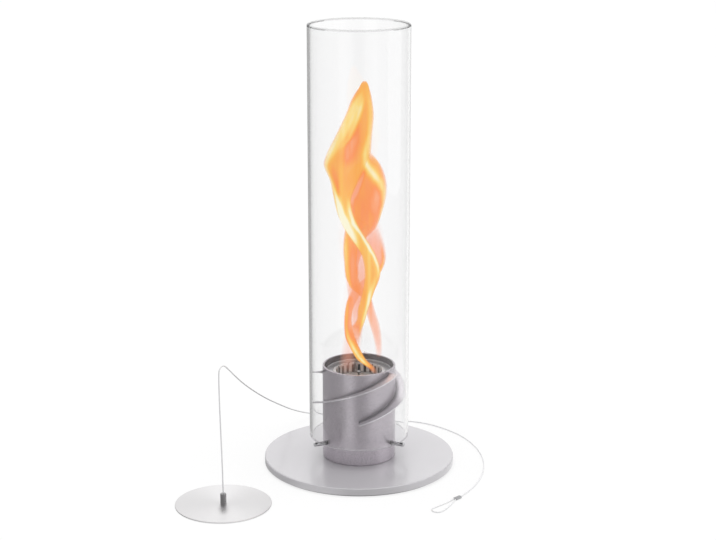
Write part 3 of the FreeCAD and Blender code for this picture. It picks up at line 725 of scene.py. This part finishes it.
# Hotter and cooler streaks on the strands: height, place across and spread in millimetres, and how much
# hotter
FLAME_STREAKS = {
    "flame_leaf": [
        [(374, -36.5, 4, 0.08), (386, -31, 5, 0.28), (395, -25.5, 5.5, 0.34), (424, -9.3, 6, 0.36),
         (440, -2.3, 5.5, 0.36), (462, 5.2, 3, 0)],
        [(370, -38.8, 2.2, 0.2), (386, -34.4, 2.4, 0.3), (412, -21.3, 2.6, 0.22), (444, -5.8, 2.8, 0.2),
         (456, 2, 2.5, 0)],
        [(393, -20.4, 2.5, 0.1), (405, -11.1, 2.5, 0.22), (420, -4.1, 2.5, 0.25), (437, 1.7, 2.5, 0.25),
         (454, 6.4, 2, 0)],
        [(385, 12, 2, 0.15), (405, 12.2, 3, 0.22), (422, 13.4, 3, 0.22), (440, 13, 3, 0.2),
         (458, 10.5, 2.5, 0.1)],
        [(370, -12, 7, 0), (382, -11, 8, -0.18), (401, -6.4, 7, -0.24), (421, -1, 4, -0.1), (430, 2, 3, 0)],
        [(360, 5, 2.5, 0), (372, 7, 3, 0.3), (385, 6.8, 3.2, 0.34), (393, 7.6, 3, 0.28), (408, 10, 3, 0)],
        [(335, -23.5, 3, 0), (340, -24, 3.2, -0.14), (352, -25.8, 3.5, -0.16), (366, -29, 4, -0.1),
         (376, -31, 4, 0)],
        [(268, 0, 3, 0), (281, -4.1, 4.5, 0.25), (294, -10.5, 5, 0.6), (305, -15.9, 5, 0.75),
         (317, -21.2, 4, 0.72), (338, -27, 2.8, 0.45), (350, -31, 2.5, 0.25), (368, -38, 2.2, 0.1)],
        [(234, 23, 1.8, 0), (244, 23.3, 1.8, 0.25), (251, 22.2, 1.8, 0.35), (265, 17.1, 1.8, 0.42),
         (278, 9.8, 1.8, 0.42), (292, 2, 2, 0.4), (304, -6.5, 2.4, 0.4), (318, -10.6, 2.6, 0.35),
         (336, -13, 2.6, 0)],
        [(158, 0.7, 1.8, 0), (167, 1.6, 2, 0.3), (183, 5.6, 2.2, 0.42), (202, 10.1, 2.4, 0.42),
         (215, 12.8, 3, 0.32), (240, 21.5, 3, 0.1)],
    ],
    "flame_fold": [
        [(280, 14, 2, 0.1), (297, 23.8, 2, 0.3), (322, 30.2, 2.8, 0.4), (337, 29.6, 4, 0.46),
         (349, 24.5, 5.5, 0.5), (360, 16, 6, 0.52), (372, 8, 5, 0.5), (384, 7, 3, 0.2)],
        [(308, 16, 5, 0), (318, 16, 6, -0.1), (331, 19, 6, -0.16), (347, 18.3, 4, -0.08), (353, 18, 3, 0)],
        [(320, -9, 2.4, 0), (328, -8.5, 2.4, -0.25), (346, -0.2, 2.6, -0.28), (361, 6, 2.6, -0.2),
         (367, 7, 2, 0)],
        [(214, -8.7, 2.2, 0.1), (236, -13.6, 3.0, 0.32), (254, -15.2, 3.2, 0.34), (269, -16.2, 3.2, 0.34),
         (296, -14, 2, 0)],
    ],
    "flame_foot": [
        [(214, 11.3, 2, 0), (228, 21.4, 2.2, 0.3), (239, 25.1, 2.2, 0.42), (254, 29.8, 2.2, 0.42),
         (284, 25, 2, 0)],
        [(112, 18.9, 2.5, 0), (121.5, 14, 2.5, 0.12), (129.5, 6.9, 2.6, 0.38), (137.5, 0.6, 2.8, 0.42),
         (150, -6.4, 2.8, 0.42), (162.5, -13, 2.4, 0.38), (174, -15.4, 2, 0.25), (199, -13.9, 2, 0.12),
         (213, -7.8, 2, 0)],
    ],
}
FLAME_ROWS = 240
FLAME_COLUMNS = 49
FLAME_CUP = 0.42
FLAME_SPILL = 0.7
# Cover from which a streak adds more
FLAME_LIT = 0.3
FLAME_RIM_COOLING = 0.12
FLAME_RIM_POWER = 10
# Powers of the fall at the rim: in thin gas, what dense gas adds to it, and how late that sets in
FLAME_THIN_FALL = 1.5
FLAME_DENSE_FALL = 14
FLAME_FALL_POWER = 6
# Size of the streaks of noise in millimetres, and the step in it from sheet to sheet
FLAME_GRAIN_ACROSS = 8.0
FLAME_GRAIN_ALONG = 60.0
FLAME_GRAIN_STEP = 7.0


def flame_strand(name, rows, streaks, finish):
    """Sheet between a left and a right edge, cupped towards the front by a share of its width. Its heat is
    its row's own with a bell across each streak, and its body thins at its ends and right at its edges."""
    height, left, right, depth, dense, heat = eased(rows, FLAME_ROWS).T[..., None]
    left, right = left - FLAME_SPILL, right + FLAME_SPILL
    dense = np.clip(dense, 0, 1)
    across = np.linspace(0, 1, FLAME_COLUMNS)[None, :]
    width = right - left
    x = left + width * across
    y = depth - FLAME_CUP * width * 4 * across * (1 - across)
    z = height + 0 * across
    warmth = heat + 0 * across
    body = dense + 0 * across
    for streak in streaks:
        level, *parts = np.array(streak, float).T
        place, spread, extra = (np.interp(height, level, part) for part in parts)
        bell = extra * np.exp(-(((x - place) / spread) ** 2))
        warmth = warmth + bell
        body = body + np.clip(bell, 0, 1) * (body > FLAME_LIT)
    rim = np.abs(2 * across - 1)
    fall = FLAME_THIN_FALL + FLAME_DENSE_FALL * dense**FLAME_FALL_POWER
    fields = {
        "warmth": warmth - FLAME_RIM_COOLING * rim**FLAME_RIM_POWER,
        "body": np.clip(body, 0, 1) * (1 - rim**fall),
        "across": x / FLAME_GRAIN_ACROSS,
        "along": z / FLAME_GRAIN_ALONG + FLAME_GRAIN_STEP * len(streaks),
    }
    piece = wear(sheet_mesh(name, np.stack([x, y, z], -1) * MM, fields=fields), finish)
    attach(piece, "fuel_can")


# Floor and light

FLOOR_DROP = 0.2 * MM
FLOOR_REACH = 6.0
FLOOR_GLOW = 1.02
FLOOR_OWN = 0.72
# Light sides of the floor for gloss: bearing in radians from the front to the right, width and level
FLOOR_SIDES = [(1.72, 1.14, 1.15), (-0.49, 0.30, 0.48)]
FLOOR_LEAST = 0.33
FLOOR_SCATTERED = 0.36
SKY_BACK = 0.8
SKY_RIGHT = 0.3
SKY_ABOVE = 0.5
SKY_LEAST = 0.3
SKY_SCATTERED = 0.6
DAY_STRENGTH = 1.3
DAY_SPREAD = 70.0
DAY_TILT = 4.0
KEY_PLACE = (1.2, -0.1, 0.40)
KEY_AIM = (0.0, 0.0, 0.10)
KEY_SIZE = (0.9, 0.7)
KEY_WATTS = 1.5
WHITE = (1.0, 1.0, 1.0, 1.0)


def seen_share(flow, mirrored, scattered):
    """One where a ray from the camera or through glass arrives, the mirrored share where it has come off
    gloss, and the scattered share where it has come off a matt surface."""
    paths = flow.node("LightPath", None, None, "Is Camera Ray")
    seen = flow.math("MAXIMUM", paths, paths.other("Is Glossy Ray"))
    seen = flow.math("MAXIMUM", seen, paths.other("Is Transmission Ray"))
    gloss = flow.math("MINIMUM", paths.other("Glossy Depth"), 1.0)
    matt = flow.math("MINIMUM", paths.other("Diffuse Depth"), 1.0)
    seen = seen * (1.0 - matt)
    return seen * (1.0 - gloss * (1.0 - mirrored)) + (1.0 - seen) * scattered


def lay_floor():
    """White floor: part of its white is its own, so that the shadow on it stays soft. Gloss picks up a broad
    light side on the right and a narrow one at the left front."""
    material, flow = new_finish("studio_floor")
    x, y, _ = own_place(flow)
    bearing = flow.math("ARCTAN2", x, y * -1.0)
    sides = sum(bearing.bell(middle, width) * level for middle, width, level in FLOOR_SIDES)
    white = seen_share(flow, sides + FLOOR_LEAST, FLOOR_SCATTERED)
    lit = flow.node("BsdfDiffuse", None, {"Color": white})
    own = flow.node("Emission", None, {"Color": WHITE, "Strength": FLOOR_GLOW})
    mixed = flow.node("MixShader", None, {0: white * FLOOR_OWN, 1: lit, 2: own})
    flow.node("OutputMaterial", None, {"Surface": mixed})
    side = np.array([-FLOOR_REACH, FLOOR_REACH])
    points = np.stack(np.meshgrid(side, side, indexing="ij") + [np.full((2, 2), -FLOOR_DROP)], -1)
    floor = wear(sheet_mesh("studio_floor", points), material)


def light_world():
    """White sky. Gloss picks up more of it from the back, the right and above than from the left and the
    front."""
    world = bpy.data.worlds.new("studio")
    bpy.context.scene.world = world
    world.use_nodes = True
    world.node_tree.nodes.clear()
    flow = Flow(world.node_tree)
    direction = flow.node("TexCoord", None, None, "Generated")
    x = flow.node("SeparateXYZ", None, {0: direction})
    right, back, above = (flow.math("MAXIMUM", part, 0.0) for part in (x, x.other(1), x.other(2)))
    mirrored = back * back * SKY_BACK + right * right * SKY_RIGHT + above * SKY_ABOVE + SKY_LEAST
    white = seen_share(flow, mirrored, SKY_SCATTERED)
    sky = flow.node("Background", None, {"Color": WHITE, "Strength": white})
    flow.node("OutputWorld", None, {"Surface": sky})


def day_light():
    """Wide even light from above, the same all over the floor. Gloss doesn't show it."""
    lamp = bpy.data.lights.new("day_light", "SUN")
    lamp.energy = DAY_STRENGTH
    lamp.angle = math.radians(DAY_SPREAD)
    holder = bpy.data.objects.new("day_light", lamp)
    holder.visible_glossy = False
    holder.rotation_euler = (math.radians(DAY_TILT), 0.0, 0.0)
    bpy.context.scene.collection.objects.link(holder)


def key_light():
    """Soft box on the right, turned to its aim. It isn't seen through the glass."""
    lamp = bpy.data.lights.new("key_light", "AREA")
    lamp.shape = "RECTANGLE"
    lamp.size, lamp.size_y = KEY_SIZE
    lamp.energy = KEY_WATTS
    holder = bpy.data.objects.new("key_light", lamp)
    holder.visible_transmission = False
    holder.location = KEY_PLACE
    x, y, z = np.subtract(KEY_AIM, KEY_PLACE)
    holder.rotation_euler = (math.atan2(math.hypot(x, y), -z), 0.0, math.atan2(y, x) - math.pi / 2)
    bpy.context.scene.collection.objects.link(holder)


# Assembly

place_camera()
CABLE_FINISH = steel("cable_steel", (0.86, 0.86, 0.87), (0.97, 0.97, 0.98), 0.40, metallic=0.25)
cable_piece("wire_rope", CABLE_ROUTE, "snuffer_cable", CABLE_FINISH)
cable_piece("wire_loop", LOOP_ROUTE, "cable_loop", CABLE_FINISH)
glass_tube(clear_glass())
wool_wad(wick_wool())
woven_wire(steel("wick_mesh", (0.70, 0.70, 0.71), (0.88, 0.88, 0.89), 0.30, metallic=0.5))
FLAME_FINISH = flame_light()
for strand, strand_rows in FLAME_STRANDS.items():
    flame_strand(strand, strand_rows, FLAME_STREAKS.get(strand, []), FLAME_FINISH)

# Painted shade darkens the pins at their roots
PIN = steel("pin_steel", (0.54, 0.54, 0.55), (0.68, 0.68, 0.69), 0.06, PIN_ROOT_SHADE)
ZINC = steel("zinc_steel", (0.50, 0.50, 0.51), (0.66, 0.66, 0.67), 0.35)
NODE_FINISHES = {
    "base_pad": pad_rubber(),
    "base_plate": plate_lacquer(),
    "base_screws": ZINC,
    "burner_housing": housing_lacquer(),
    "glass_pin_left": PIN,
    "glass_pin_right": PIN,
    "glass_pin_rear": PIN,
    "can_body": steel("can_steel", (0.50, 0.49, 0.50), (0.62, 0.61, 0.62), 0.30, CAN_SOOT),
    "can_lid": steel("lid_steel", (0.50, 0.49, 0.50), (0.62, 0.61, 0.62), 0.30, LID_SOOT),
    "flame_ring": ring_steel(),
    "lifting_knob": steel("knob_steel", (0.36, 0.35, 0.35), (0.50, 0.49, 0.49), 0.30),
    "knob_nut": ZINC,
    "snuffer_disc": steel("disc_steel", (0.71, 0.70, 0.705), (0.82, 0.81, 0.815), 0.25, brushed=0.8),
    "cable_ferrule": steel("ferrule_steel", (0.30, 0.295, 0.30), (0.42, 0.415, 0.42), 0.30),
    "ferrule_screw": ZINC,
    "loop_crimp": steel("crimp_metal", (0.34, 0.34, 0.35), (0.50, 0.50, 0.51), 0.35),
}
for node, finish in NODE_FINISHES.items():
    for slot in NODES[node].material_slots:
        slot.material = finish

lay_floor()
light_world()
day_light()
key_light()
bpy.context.scene.view_settings.view_transform = "Standard"
